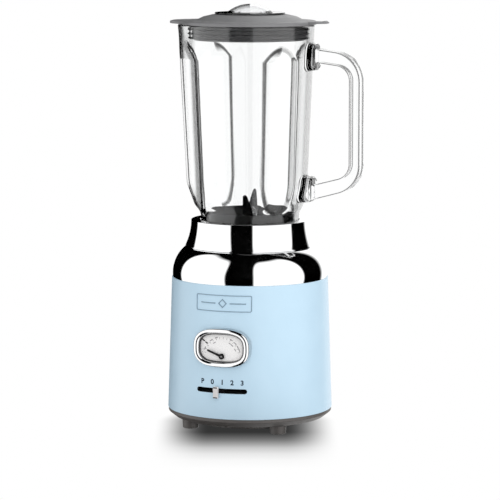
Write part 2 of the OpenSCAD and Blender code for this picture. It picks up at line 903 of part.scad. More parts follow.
body_shell();
shoulder();
top_deck();
base_pan();
bottom_cover();
rubber_feet();
foot_screws();
cover_screws();
gauge_bezel();
gauge_dial();
gauge_lens();
gauge_movement();
gauge_needle();
slot_liner();
slider_knob();
speed_switch();
control_board();
badge_plate();
cord_gland();
motor_stator();
field_coils();
upper_bracket();
lower_bracket();
upper_bearing();
lower_bearing();
motor_bolts();
motor_screws();
motor_dampers();
brush_holders();
carbon_brushes();
brush_springs();
motor_shaft();
armature_core();
armature_windings();
commutator();
cooling_fan();
drive_dog();
jar_collar();
blade_base();
blade_bush();
shaft_seal();
blade_shaft();
upper_blade();
middle_blade();
lower_blade();
blade_spacers();
blade_nut();
driven_dog();
jar_seal();
glass_jar();
lid();
lid_seal();
measuring_cap();
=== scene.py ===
"""Looks of a countertop blender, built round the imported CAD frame. Meshes are drawn in millimetres."""

import json
import math

import bmesh
import bpy
import numpy as np
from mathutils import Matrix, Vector


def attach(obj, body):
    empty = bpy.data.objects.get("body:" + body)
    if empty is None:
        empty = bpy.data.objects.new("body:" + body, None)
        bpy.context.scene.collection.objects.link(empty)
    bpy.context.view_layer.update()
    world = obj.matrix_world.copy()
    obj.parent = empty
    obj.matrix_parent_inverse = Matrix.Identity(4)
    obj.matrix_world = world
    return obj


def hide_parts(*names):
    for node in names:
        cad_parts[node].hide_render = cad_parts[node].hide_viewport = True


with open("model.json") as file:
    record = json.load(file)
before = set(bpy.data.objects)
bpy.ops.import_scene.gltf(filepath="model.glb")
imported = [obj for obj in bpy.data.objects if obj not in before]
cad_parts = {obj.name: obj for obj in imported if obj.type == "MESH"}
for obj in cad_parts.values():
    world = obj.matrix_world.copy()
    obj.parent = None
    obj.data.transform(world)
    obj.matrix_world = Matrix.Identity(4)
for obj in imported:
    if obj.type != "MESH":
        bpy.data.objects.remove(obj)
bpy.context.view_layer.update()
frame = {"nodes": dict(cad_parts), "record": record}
MM = 0.001


# ---------- mesh tools ----------

def rounded(points, steps=6, closed=True):
    """Outline of (a, b) points, where a third number rounds that corner by its radius."""
    out = []
    count = len(points)
    for i, point in enumerate(points):
        radius = point[2] if len(point) > 2 else 0
        here = np.array(point[:2], float)
        if radius == 0 or (not closed and i in (0, count - 1)):
            out.append(tuple(here))
            continue
        before = np.array(points[i - 1][:2], float) - here
        after = np.array(points[(i + 1) % count][:2], float) - here
        u, v = before / np.linalg.norm(before), after / np.linalg.norm(after)
        half = math.acos(max(-1, min(1, float(u @ v)))) / 2
        cut = min(radius / math.tan(half), 0.49 * np.linalg.norm(before), 0.49 * np.linalg.norm(after))
        middle = (u + v) / np.linalg.norm(u + v)
        radius = cut * math.tan(half)
        centre = here + middle * radius / math.sin(half)
        start, end = here + u * cut - centre, here + v * cut - centre
        a0, a1 = math.atan2(start[1], start[0]), math.atan2(end[1], end[0])
        turn = (a1 - a0 + math.pi) % (2 * math.pi) - math.pi
        for k in range(steps + 1):
            a = a0 + turn * k / steps
            out.append((centre[0] + radius * math.cos(a), centre[1] + radius * math.sin(a)))
    return out


def straight(a, b, steps):
    """Points from a towards b, without b itself."""
    return [(a[0] + (b[0] - a[0]) * k / steps, a[1] + (b[1] - a[1]) * k / steps) for k in range(steps)]


def arc(cx, cy, radius, a0, a1, steps):
    """Points on a circle, angles in degrees."""
    return [(cx + radius * math.cos(math.radians(a0 + (a1 - a0) * k / steps)),
             cy + radius * math.sin(math.radians(a0 + (a1 - a0) * k / steps))) for k in range(steps + 1)]


def loft(loops, around=True, looped=False):
    """Skin over loops of points. looped joins the last loop to the first; otherwise the ends are closed."""
    n = len(loops[0])
    verts = [tuple(p) for loop in loops for p in loop]
    faces = []
    for i in range(len(loops) if looped else len(loops) - 1):
        j = (i + 1) % len(loops)
        for k in range(n if around else n - 1):
            m = (k + 1) % n
            faces.append((i * n + k, i * n + m, j * n + m, j * n + k))
    if not looped:
        faces.append(tuple(range(n)))
        faces.append(tuple((len(loops) - 1) * n + k for k in range(n)))
    return verts, faces


def lathe(profile, segments=192):
    """Solid of revolution about Z of a closed (r, z) outline."""
    angles = [2 * math.pi * k / segments for k in range(segments)]
    return loft([[(r * math.cos(a), r * math.sin(a), z) for a in angles] for r, z in profile], looped=True)


def moved(part, shift=(0, 0, 0), turn=0.0):
    """The part turned about Z by degrees, then shifted."""
    c, s = math.cos(math.radians(turn)), math.sin(math.radians(turn))
    dx, dy, dz = shift
    return [(c * x - s * y + dx, s * x + c * y + dy, z + dz) for x, y, z in part[0]], part[1]


def laid(part, origin):
    """The part with its Z axis laid along -Y, at an origin."""
    return [(x + origin[0], -z + origin[1], y + origin[2]) for x, y, z in part[0]], part[1]


def build(name, parts, sharp=34):
    """Mesh object from (vertices in mm, faces) parts."""
    mesh = bpy.data.meshes.new(name)
    bm = bmesh.new()
    for verts, faces in parts:
        made = [bm.verts.new(Vector(v) * MM) for v in verts]
        for face in faces:
            bm.faces.new([made[k] for k in face])
    bmesh.ops.remove_doubles(bm, verts=bm.verts, dist=1e-7)
    bmesh.ops.dissolve_degenerate(bm, edges=bm.edges, dist=1e-7)
    bmesh.ops.recalc_face_normals(bm, faces=bm.faces)
    bm.to_mesh(mesh)
    bm.free()
    obj = bpy.data.objects.new(name, mesh)
    bpy.context.scene.collection.objects.link(obj)
    smooth(obj, sharp)
    return obj


def smooth(obj, sharp=34):
    """Smooth shading, but for edges sharper than an angle in degrees."""
    obj.data.shade_smooth()
    obj.data.set_sharp_from_angle(angle=math.radians(sharp))


def combine(obj, tools, operation, sharp=34):
    """Applies a boolean with each tool object, and removes the tools."""
    for tool in tools:
        modifier = obj.modifiers.new("combine", "BOOLEAN")
        modifier.operation = operation
        modifier.solver = "MANIFOLD"
        modifier.object = tool
    bpy.context.view_layer.update()
    mesh = bpy.data.meshes.new_from_object(obj.evaluated_get(bpy.context.evaluated_depsgraph_get()))
    obj.modifiers.clear()
    obj.data = mesh
    mesh.name = obj.name
    for tool in tools:
        bpy.data.objects.remove(tool)
    smooth(obj, sharp)
    return obj


def finish_piece(obj, material, body, slot, *nodes):
    """Gives a piece its material and body, and hides the CAD nodes that it stands for. slot is not used."""
    obj.data.materials.clear()
    obj.data.materials.append(material)
    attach(obj, body)
    if nodes:
        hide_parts(*nodes)
    return obj


def rounded_rect(width, height, radius, arc_steps=16, side_steps=8):
    """Points round a rectangle with round corners, about its own middle."""
    out = []
    w, h = width / 2 - radius, height / 2 - radius
    corners = [(w, h, 0), (-w, h, 90), (-w, -h, 180), (w, -h, 270)]
    for i, (cx, cy, a0) in enumerate(corners):
        out += arc(cx, cy, radius, a0, a0 + 90, arc_steps)
        nx, ny, na = corners[(i + 1) % 4]
        end = (nx + radius * math.cos(math.radians(na)), ny + radius * math.sin(math.radians(na)))
        out += straight(out[-1], end, side_steps)[1:]
    return out


def stadium(x0, x1, radius, arc_steps=20, side_steps=24):
    """Points round a slot with round ends centred at x0 and x1."""
    out = arc(x1, 0, radius, -90, 90, arc_steps)
    out += [(x1 + (x0 - x1) * k / side_steps, radius) for k in range(1, side_steps)]
    out += arc(x0, 0, radius, 90, 270, arc_steps)
    out += [(x0 + (x1 - x0) * k / side_steps, -radius) for k in range(1, side_steps)]
    return out


def oval(width, height, power, steps=136):
    """Points round a squarish oval."""
    out = []
    for k in range(steps):
        c, s = math.cos(2 * math.pi * k / steps), math.sin(2 * math.pi * k / steps)
        r = (abs(c) ** power + abs(s) ** power) ** (-1 / power)
        out.append((width / 2 * r * c, height / 2 * r * s))
    return out


# ---------- materials ----------

def node(tree, kind, inputs=(), **settings):
    """New shader node. A socket given as an input is linked, and any other value is set."""
    made = tree.nodes.new(kind)
    for key, value in settings.items():
        setattr(made, key, value)
    for key, value in dict(inputs).items():
        if isinstance(value, bpy.types.NodeSocket):
            tree.links.new(value, made.inputs[key])
        else:
            made.inputs[key].default_value = value
    return made


def finish(name, low, high, rough, scale=300.0, grain=2500.0, bump=0.00002, stretch=None, **sockets):
    """Principled material whose colour and roughness vary with noise, with a fine bump.

    low and high are the two colours, and rough is the range of roughness. Scales are per metre.
    """
    material = bpy.data.materials.new(name)
    material.use_nodes = True
    tree = material.node_tree
    shader = tree.nodes["Principled BSDF"]
    for key, value in sockets.items():
        shader.inputs[key.replace("_", " ")].default_value = value
    place = node(tree, "ShaderNodeTexCoord").outputs["Object"]
    if stretch:
        place = node(tree, "ShaderNodeMapping", {"Vector": place, "Scale": stretch}).outputs["Vector"]
    cloud = node(tree, "ShaderNodeTexNoise", {"Vector": place, "Scale": scale, "Detail": 3.0}).outputs["Fac"]
    ramp = node(tree, "ShaderNodeValToRGB", {"Fac": cloud})
    ramp.color_ramp.elements[0].position = 0.3
    ramp.color_ramp.elements[1].position = 0.7
    ramp.color_ramp.elements[0].color = (*low, 1)
    ramp.color_ramp.elements[1].color = (*high, 1)
    tree.links.new(ramp.outputs["Color"], shader.inputs["Base Color"])
    vary = node(tree, "ShaderNodeMapRange", {"Value": cloud, "From Min": 0.3, "From Max": 0.7,
                                             "To Min": rough[0], "To Max": rough[1]})
    tree.links.new(vary.outputs["Result"], shader.inputs["Roughness"])
    if bump:
        fine = node(tree, "ShaderNodeTexNoise", {"Vector": place, "Scale": grain, "Detail": 2.0})
        raised = node(tree, "ShaderNodeBump", {"Height": fine.outputs["Fac"], "Distance": bump,
                                               "Strength": 1.0})
        tree.links.new(raised.outputs["Normal"], shader.inputs["Normal"])
    return material


def paint_glass_shade(material, start, end, dark, line):
    """Paints shade into clear glass where it is seen edge on, and paints dark lines along its drawn edges, in
    place of the dark edges that refraction shows.

    The first goes by the "sheet" attribute and turns to dark between the facing values start and end. The
    second goes by the "edge" attribute and turns to line.
    """
    tree = material.node_tree
    shader = tree.nodes["Principled BSDF"]
    base = shader.inputs["Base Color"].links[0].from_socket
    facing = node(tree, "ShaderNodeLayerWeight", {"Blend": 0.5}).outputs["Facing"]

    def mapped(value, **limits):
        sockets = {"Value": value, **{key.replace("_", " "): limit for key, limit in limits.items()}}
        return node(tree, "ShaderNodeMapRange", sockets).outputs["Result"]

    def marked(title):
        return node(tree, "ShaderNodeAttribute", attribute_name=title).outputs["Fac"]

    side = mapped(facing, From_Min=start, From_Max=end, To_Min=1.0, To_Max=dark)
    side = mapped(marked("sheet"), To_Min=1.0, To_Max=side)
    drawn = mapped(marked("edge"), To_Min=1.0, To_Max=line)
    both = node(tree, "ShaderNodeMath", {0: side, 1: drawn}, operation="MULTIPLY").outputs[0]
    mix = node(tree, "ShaderNodeMix", data_type="RGBA", blend_type="MULTIPLY")
    mix.inputs[0].default_value = 1.0
    tree.links.new(base, mix.inputs[6])
    tree.links.new(both, mix.inputs[7])
    tree.links.new(mix.outputs[2], shader.inputs["Base Color"])
    return material


def mark_painted_shade(obj, amount):
    """Stores amount(x, y, z), a pair of arrays from 0 to 1, as the mesh's edge and sheet attributes, which
    place the painted shade on clear glass.
    """
    places = np.empty(3 * len(obj.data.vertices))
    obj.data.vertices.foreach_get("co", places)
    for title, values in zip(("edge", "sheet"), amount(*(places.reshape(-1, 3) / MM).T)):
        attribute = obj.data.attributes.new(title, "FLOAT", "POINT")
        attribute.data.foreach_set("value", values.astype(np.float32))
    weighted = obj.modifiers.new("weighted", "WEIGHTED_NORMAL")
    weighted.keep_sharp = True


PAINT = finish("satin_paint", (0.49, 0.668, 0.80), (0.505, 0.683, 0.815), (0.36, 0.42), 60, 1800, 0.000004,
               Coat_Weight=0.25, Coat_Roughness=0.25, Specular_IOR_Level=0.4)
CHROME = finish("bright_chrome", (0.93, 0.935, 0.94), (0.95, 0.955, 0.96), (0.035, 0.055), 90, 900, 0.0,
                Metallic=1.0)
PAN = finish("warm_grey_pan", (0.092, 0.084, 0.08), (0.104, 0.095, 0.091), (0.42, 0.5), 200, 2200, 0.00001)
FOOT = finish("foot_rubber", (0.05, 0.05, 0.053), (0.065, 0.064, 0.066), (0.7, 0.8), 400, 3000, 0.00002)
DARK = finish("dark_plastic", (0.012, 0.012, 0.014), (0.018, 0.018, 0.02), (0.35, 0.45), 300, 2500, 0.00001)
CARD = finish("dial_card", (0.9, 0.89, 0.89), (0.93, 0.92, 0.91), (0.55, 0.65), 700, 6000, 0.000004)
INK = finish("dial_ink", (0.002, 0.002, 0.002), (0.004, 0.004, 0.004), (0.6, 0.7), 900, 5000, 0.0,
             Specular_IOR_Level=0.1)
GREY_INK = finish("grey_ink", (0.26, 0.25, 0.26), (0.31, 0.30, 0.31), (0.5, 0.6), 900, 5000, 0.0)
SLATE_INK = finish("slate_ink", (0.008, 0.018, 0.035), (0.012, 0.024, 0.045), (0.6, 0.7), 900, 5000, 0.0,
                   Specular_IOR_Level=0.15)
NEEDLE = finish("needle_black", (0.002, 0.002, 0.002), (0.004, 0.004, 0.004), (0.6, 0.7), 800, 4000, 0.000003,
                Specular_IOR_Level=0.1)
BADGE = finish("badge_line", (0.18, 0.27, 0.35), (0.21, 0.3, 0.38), (0.35, 0.45), 500, 3000, 0.000003)
KNOB = finish("slider_cap", (0.62, 0.60, 0.60), (0.66, 0.64, 0.64), (0.3, 0.4), 500, 3000, 0.000006)
LID = finish("grey_lid", (0.19, 0.19, 0.195), (0.21, 0.21, 0.215), (0.34, 0.42), 120, 2600, 0.000012)
SEAL = finish("lid_rubber", (0.10, 0.10, 0.104), (0.12, 0.12, 0.124), (0.45, 0.55), 300, 2600, 0.00001)
SILICONE = finish("clear_silicone", (0.80, 0.80, 0.78), (0.84, 0.84, 0.82), (0.5, 0.6), 300, 2600, 0.00001)
GLASS = finish("jar_glass", (0.985, 0.992, 0.992), (0.998, 1.0, 1.0), (0.0, 0.0), 8, 22, 0.0001,
               Transmission_Weight=1.0, IOR=1.47)
CLEAR = finish("clear_plastic", (0.975, 0.98, 0.985), (0.99, 0.995, 1.0), (0.0, 0.0), 20, 60, 0.00004,
               Transmission_Weight=1.0, IOR=1.46)
# Painted shade: the jar and the cap darken where seen edge on and along drawn lines, standing in for the dark
# edges that refraction shows
paint_glass_shade(GLASS, 0.58, 0.66, 0.25, 0.02)
paint_glass_shade(CLEAR, 0.88, 0.97, 0.15, 0.04)
LENS = finish("lens", (0.30, 0.30, 0.31), (0.34, 0.34, 0.35), (0.03, 0.05), 20, 60, 0.0, Alpha=0.02)
DISH = finish("dish_dark", (0.007, 0.007, 0.008), (0.012, 0.012, 0.013), (0.35, 0.45), 300, 2600, 0.00001)
STEEL = finish("turned_steel", (0.52, 0.53, 0.54), (0.6, 0.61, 0.62), (0.2, 0.32), 220, 1600, 0.000006,
               stretch=(1, 1, 12), Metallic=1.0)
BLADE = finish("ground_steel", (0.46, 0.47, 0.48), (0.6, 0.61, 0.62), (0.16, 0.28), 260, 1400, 0.000006,
               stretch=(1, 7, 1), Metallic=1.0)
CORE = finish("core_steel", (0.26, 0.27, 0.28), (0.36, 0.37, 0.38), (0.35, 0.5), 150, 900, 0.00003,
              stretch=(1, 1, 9), Metallic=1.0)
COPPER = finish("enamelled_wire", (0.42, 0.12, 0.04), (0.56, 0.18, 0.06), (0.25, 0.4), 200, 1400, 0.00008,
                stretch=(1, 1, 6), Metallic=0.8)
ALLOY = finish("cast_alloy", (0.42, 0.43, 0.44), (0.5, 0.51, 0.52), (0.4, 0.55), 260, 1600, 0.00003,
               Metallic=1.0)
CARBON = finish("carbon", (0.03, 0.03, 0.031), (0.045, 0.045, 0.047), (0.6, 0.75), 600, 3000, 0.00002)
BRASS = finish("brass", (0.55, 0.38, 0.14), (0.66, 0.47, 0.19), (0.25, 0.38), 240, 1500, 0.00001,
               Metallic=1.0)
FAN = finish("fan_plastic", (0.62, 0.59, 0.50), (0.68, 0.65, 0.56), (0.4, 0.5), 300, 2400, 0.00001)
BOARD = finish("board_green", (0.01, 0.1, 0.035), (0.015, 0.13, 0.045), (0.3, 0.45), 240, 1800, 0.00002)
DAMPER = finish("damper_rubber", (0.02, 0.02, 0.021), (0.03, 0.03, 0.031), (0.7, 0.8), 400, 2600, 0.00002)

SLOT_LOOKS = {
    "painted_body": PAINT, "chrome_trim": CHROME, "pan_plastic": PAN, "foot_rubber": FOOT,
    "dark_plastic": DARK, "dial_card": CARD, "needle_black": NEEDLE, "clear_plastic": CLEAR,
    "jar_glass": GLASS, "lid_plastic": LID, "lid_rubber": SEAL, "seal_silicone": SILICONE,
    "knob_metal": KNOB, "badge_metal": BADGE, "board_green": BOARD, "steel": STEEL,
    "blade_steel": BLADE, "core_steel": CORE, "copper": COPPER, "bracket_alloy": ALLOY,
    "carbon": CARBON, "brass_parts": BRASS, "fan_plastic": FAN, "damper_rubber": DAMPER,
}
for entry in frame["record"]["subparts"]:
    cad = frame["nodes"][entry["node"]]
    cad.data.materials.clear()
    cad.data.materials.append(SLOT_LOOKS[entry["material_slot"]])

# ---------- base casing ----------

BODY_LOW, BODY_TOP = 16.5, 141.0
BODY_R_LOW, BODY_R_TOP = 77.7, 73.7
BODY_WALL = 1.6
SLOT_Z, SLOT_X0, SLOT_X1 = 43.0, -23.6, 21.5
SLOT_HALF, LIP_OUT, LIP_IN = 2.3, 2.25, 1.95
GAUGE_Z = 83.3
GLAND_Y, GLAND_Z = 80, 28
SEAT_Z = 170.0


def body_r(z):
    """Radius of the painted wall at a height."""
    return BODY_R_LOW - (BODY_R_LOW - BODY_R_TOP) * (z - BODY_LOW) / (BODY_TOP - BODY_LOW)


def on_body(x, z, proud):
    """Point over x and z, as seen from the front, standing proud of the painted wall."""
    return x, -math.sqrt((body_r(z) + proud) ** 2 - x * x), z


def round_body(arc_x, z, proud):
    """Point at a distance along the painted wall from its front line."""
    r = body_r(z) + proud
    return r * math.sin(arc_x / body_r(z)), -r * math.cos(arc_x / body_r(z)), z


def prism(outline, y0, y1, z):
    """Block with an outline of (x, z) points about a height, from y0 to y1."""
    return loft([[(x, y, v + z) for x, v in outline] for y in (y0, y1)])


shell = build("body_casing", [lathe(rounded([
    (BODY_R_LOW, BODY_LOW, 0.5), (BODY_R_TOP, BODY_TOP, 0.8), (69.9, BODY_TOP), (69.9, BODY_TOP - BODY_WALL),
    (BODY_R_TOP - BODY_WALL, BODY_TOP - BODY_WALL, 0.6), (BODY_R_LOW - BODY_WALL, BODY_LOW)], 5), 320)])
slot_tool = build("slot_tool", [prism(stadium(SLOT_X0, SLOT_X1, SLOT_HALF), -90, -60, SLOT_Z)])
gauge_tool = build("gauge_tool", [prism(oval(50.4, 32.6, 2.7), -90, -60, GAUGE_Z)])
gland_hole = lathe([(0.01, 0), (7, 0), (7, 40), (0.01, 40)], 48)
gland_tool = build("gland_tool", [laid(gland_hole, (0, GLAND_Y + 15, GLAND_Z))])
combine(shell, [slot_tool, gauge_tool, gland_tool], "DIFFERENCE", 30)
finish_piece(shell, PAINT, "base", "painted_body", "body_shell")

shoulder = build("shoulder_cap", [lathe(
    arc(41, 144.3, 32, -5.9, 52.6, 40)
    + rounded([(60.6, 169.7), (60.0, SEAT_Z, 0.3), (50.4, SEAT_Z), (48.8, SEAT_Z), (48.8, 149), (50.4, 149),
               (50.4, 168.4), (59.4, 168.4)])[1:] + arc(41, 144.3, 30.4, 51.5, -6.2, 24), 320)], 28)
finish_piece(shoulder, CHROME, "base", "chrome_trim", "shoulder")

pan = build("base_pan_rim", [lathe(rounded([
    (45, 8.3, 0.4), (70.5, 8.3, 2.5), (77.2, 13.6, 0.9), (77.2, 16.45, 0.25), (75.4, 16.45), (75.4, 20, 0.4),
    (73.4, 20, 0.4), (73.4, 15, 1), (70, 10.8, 1.5), (45, 10.8, 0.4)], 6), 256)], 30)
finish_piece(pan, PAN, "base", "pan_plastic", "base_pan")

foot_profile = rounded([(2.1, 2), (4.6, 2), (4.6, 0, 0.5), (7.4, 0, 0.9), (8, 8.3, 0.3), (2.1, 8.3)], 5)
feet = build("feet_pads", [moved(lathe(foot_profile, 64), (61.5 * math.cos(math.radians(a)),
                                                          61.5 * math.sin(math.radians(a)), 0))
                           for a in (45, 135, 225, 315)], 30)
finish_piece(feet, PAN, "base", "foot_rubber", "rubber_feet")

gland = build("gland_boss", [laid(lathe(rounded([
    (3.6, 0, 0.8), (5.4, 0, 1.0), (5.9, 1.6, 0.3), (8.2, 2.0, 0.8), (9, 7.2), (6.9, 7.2), (6.9, 14, 0.3),
    (3.6, 14)], 5), 72), (0, GLAND_Y, GLAND_Z))], 30)
finish_piece(gland, DARK, "base", "dark_plastic", "cord_gland")

# ---------- gauge ----------

OUTER_RING, INNER_RING = oval(54.8, 36.8, 2.7), oval(43.6, 26.6, 3.0)
CARD_OUTLINE = oval(44.4, 27.4, 3.0)
DIAL_Y, NEEDLE_Y, PIVOT_Z = -75.4, -77.0, 75.4


def ring_loop(share, y):
    """Loop between the gauge's outer and inner outlines. A y of None lies on the painted wall."""
    out = []
    for (x0, z0), (x1, z1) in zip(OUTER_RING, INNER_RING):
        x, z = x0 + (x1 - x0) * share, GAUGE_Z + z0 + (z1 - z0) * share
        out.append(on_body(x, z, 0.05) if y is None else (x, y, z))
    return out


dome = [(0.5 - 0.5 * math.cos(a), -75.7 - 4.3 * math.sin(a) ** 0.62)
        for a in map(math.radians, range(6, 175, 7))]
dome = [(0.0, -75.4)] + dome + [(1.0, -76.9)]
bezel = build("gauge_ring", [loft([ring_loop(0.0, None)] + [ring_loop(s, y) for s, y in dome]
                                  + [ring_loop(1.0, -69.5), ring_loop(0.62, -69.5), ring_loop(0.5, None)],
                                  looped=True)], 50)
finish_piece(bezel, CHROME, "base", "chrome_trim", "gauge_bezel")

gasket = build("gauge_gasket", [loft([ring_loop(share, y) for share, y in (
    (0.98, -77.9), (1.13, -77.5), (1.13, -75.3), (0.98, -75.3))], looped=True)])
finish_piece(gasket, DARK, "base", "dark_plastic")


def plate(outline, z, steps):
    """Plate seen from the front: outline scaled by each step's share, at its y."""
    return loft([[(x * s, y, v * s + z) for x, v in outline] for s, y in steps])


card_steps = [(0.99, DIAL_Y), (1.0, DIAL_Y + 0.1), (1.0, DIAL_Y + 1.0)]
card = build("gauge_card", [plate(CARD_OUTLINE, GAUGE_Z, card_steps)])
finish_piece(card, CARD, "base", "dial_card", "gauge_dial")
lens_steps = [(0.55, -79.35), (0.8, -79.2), (0.95, -78.9), (1.0, -78.7), (1.0, -78.3), (0.95, -78.2),
              (0.5, -78.4)]
lens = build("gauge_glass", [plate(CARD_OUTLINE, GAUGE_Z, lens_steps)], 60)
finish_piece(lens, LENS, "base", "clear_plastic", "gauge_lens")


def tick(angle, r0, r1, width):
    """Thin printed stroke on the dial, from r0 to r1 along an angle about the pointer's pivot."""
    c, s = math.cos(math.radians(angle)), math.sin(math.radians(angle))
    ends = [(r0, -width / 2), (r1, -width / 2), (r1, width / 2), (r0, width / 2)]
    return prism([(r * c - w * s, r * s + w * c) for r, w in ends], DIAL_Y - 0.06, DIAL_Y + 0.02, PIVOT_Z)


bold = build("gauge_marks_bold", [tick(142, 18.0, 20.8, 1.3), tick(142, 21.6, 25.0, 1.3)])
finish_piece(bold, INK, "base", "dial_card")
faint = build("gauge_marks_fine", [tick(a, 17.6, 18.5, 3.0) for a in (20, 31, 44, 60, 108, 126, 158)]
              + [tick(a, 14.0, 14.8, 2.6) for a in (27, 47, 58, 122)]
              + [tick(a, 16.0, 17.8, 0.4) for a in range(14, 172, 12)]
              + [tick(a, 19.3, 20.0, 0.8) for a in (162, 170)])
finish_piece(faint, GREY_INK, "base", "dial_card")

# The pointer along its own length, then as it stands at rest, pointing left and upwards
level = [(0, 1.1), (2.2, 1.1), (15, 0.8), (15, -0.8), (2.2, -1.1), (0, -1.1)]
rise_c, rise_s = math.cos(math.radians(21)), math.sin(math.radians(21))
pointer = [(-u * rise_c + w * rise_s, u * rise_s + w * rise_c) for u, w in level]
hub = lathe(rounded([(0.01, 0), (2.8, 0, 0.1), (2.8, 0.8, 0.35), (0.01, 0.8)], 5), 48)
pin = lathe(rounded([(0.01, 0), (0.8, 0), (0.8, 11.4, 0.1), (0.01, 11.4)], 4), 24)
needle = build("gauge_pointer", [laid(hub, (0, NEEDLE_Y, PIVOT_Z)), laid(pin, (0, NEEDLE_Y + 11, PIVOT_Z)),
                                 prism(pointer, NEEDLE_Y - 0.6, NEEDLE_Y - 0.05, PIVOT_Z)])
finish_piece(needle, NEEDLE, "needle", "needle_black", "gauge_needle")
stud_top = lathe(rounded([(0.01, 0), (0.8, 0), (0.7, 0.25, 0.15), (0.01, 0.25)], 4), 32)
stud = build("gauge_pointer_stud", [laid(stud_top, (0, NEEDLE_Y - 0.75, PIVOT_Z))])
finish_piece(stud, GREY_INK, "needle", "needle_black")

# ---------- slider, marks and badge ----------


def on_wall(outline, z, proud):
    """Loop over an outline of (x, z) points about a height, standing proud of the painted wall."""
    return [on_body(x, v + z, proud) for x, v in outline]


rims = [stadium(SLOT_X0, SLOT_X1, half) for half in (LIP_OUT, (LIP_OUT + LIP_IN) / 2, LIP_IN)]
lip_steps = ((0, -2.6), (0, -0.25), (1, -0.12), (2, -0.4), (2, -2.6))
lip = loft([on_wall(rims[k], SLOT_Z, proud) for k, proud in lip_steps], looped=True)
back_angles = [math.radians(a) for a in np.linspace(-24, 23, 48)]


def wall_strip(r0, r1, z0, z1):
    """Curved block about Z, from inner to outer radius, behind the slot."""
    return loft([[(r * math.sin(a), -r * math.cos(a), z) for r, z in ((r0, z0), (r1, z0), (r1, z1), (r0, z1))]
                 for a in back_angles])


back_r = body_r(SLOT_Z) - 3.7
liner = build("slot_lining", [lip, wall_strip(back_r, back_r + 1.6, SLOT_Z + 2.05, SLOT_Z + 8),
                              wall_strip(back_r, back_r + 1.6, SLOT_Z - 8, SLOT_Z - 2.05)], 30)
finish_piece(liner, DARK, "base", "dark_plastic", "slot_liner")


def block(half_x, low, high, y0, y1, z):
    """Block as wide as twice half_x, between two heights about z and two depths."""
    return prism([(-half_x, low), (half_x, low), (half_x, high), (-half_x, high)], y0, y1, z)


KNOB_TURN = -3.3        # degrees from the front line to the slider's place at rest
KNOB_Z = SLOT_Z - 1.2
knob_steps = ((0.93, 0.96, -78.4), (1, 1, -78.8), (1, 1, -81.0), (0.97, 0.985, -81.5), (0.88, 0.93, -81.8),
              (0.6, 0.7, -81.9))
knob_loops = [[(x * wide, y, v * tall + KNOB_Z) for x, v in rounded_rect(4.7, 10.9, 0.8, 8, 4)]
              for wide, tall, y in knob_steps]
knob = build("slider_grip", [moved(loft(knob_loops), turn=KNOB_TURN)], 40)
finish_piece(knob, KNOB, "slider", "knob_metal", "slider_knob")

peg = laid(lathe([(0.01, 0), (1.2, 0), (1.2, 8), (0.01, 8)], 24), (0, -62.5, SLOT_Z))
carrier_parts = [block(2, -1.75, 1.75, -79, -70, SLOT_Z), block(4.5, -5, 5, -71.6, -69.6, SLOT_Z), peg]
carrier_parts += [block(1.9, v - 0.5, v + 0.5, -81.95, -81.0, KNOB_Z) for v in (-4.6, 4.6)]
carrier = build("slider_carrier", [moved(p, turn=KNOB_TURN) for p in carrier_parts], 40)
finish_piece(carrier, DARK, "slider", "knob_metal")

BADGE_Z = 124.5
BADGE_SUNK, BADGE_PROUD = -0.05, 0.45


def band(outer, inner):
    """Flat frame of the badge between two outlines, following the painted wall."""
    steps = ((outer, BADGE_SUNK), (outer, BADGE_PROUD), (inner, BADGE_PROUD), (inner, BADGE_SUNK))
    return loft([on_wall(outline, BADGE_Z, proud) for outline, proud in steps], looped=True)


def bar(x0, x1, half):
    """Level line of the badge, following the painted wall."""
    section = ((-half, BADGE_SUNK), (half, BADGE_SUNK), (half, BADGE_PROUD), (-half, BADGE_PROUD))
    return loft([[on_body(x, BADGE_Z + v, proud) for v, proud in section] for x in np.linspace(x0, x1, 12)])


def lozenge(size):
    """Square on its corner, with the middle of each side as a point too."""
    corners = [(size if k % 2 == 0 else size * 0.7071, math.radians(45 * k)) for k in range(8)]
    return [(r * math.cos(a), r * math.sin(a)) for r, a in corners]


border = band(rounded_rect(54.4, 15.3, 1.5, 6, 20), rounded_rect(53.2, 14.1, 1.0, 6, 20))
badge = build("badge_frame", [border, band(lozenge(4.24), lozenge(3.2)), bar(-22, -7, 0.4), bar(7, 22, 0.4)],
              30)
finish_piece(badge, BADGE, "base", "badge_metal", "badge_plate")

MARKS_Z = 49.0
marks = []
for text, at in (("P", -20.0), ("0", -9.5), ("1", 0.5), ("2", 10.0), ("3", 19.5)):
    curve = bpy.data.curves.new("mark_curve", "FONT")
    curve.body = text
    curve.size = 6.3
    curve.align_x = "CENTER"
    curve.extrude = 0.04
    curve.offset = 0.2
    holder = bpy.data.objects.new("mark_holder", curve)
    bpy.context.scene.collection.objects.link(holder)
    bpy.context.view_layer.update()
    glyph = bpy.data.meshes.new_from_object(holder.evaluated_get(bpy.context.evaluated_depsgraph_get()))
    verts = [round_body(at + v.co.x, MARKS_Z + v.co.y, 0.04 + v.co.z) for v in glyph.vertices]
    marks.append((verts, [tuple(p.vertices) for p in glyph.polygons]))
    bpy.data.objects.remove(holder)
digits = build("speed_marks", marks)
finish_piece(digits, SLATE_INK, "base", "painted_body")

# ---------- jar collar and blade seat ----------

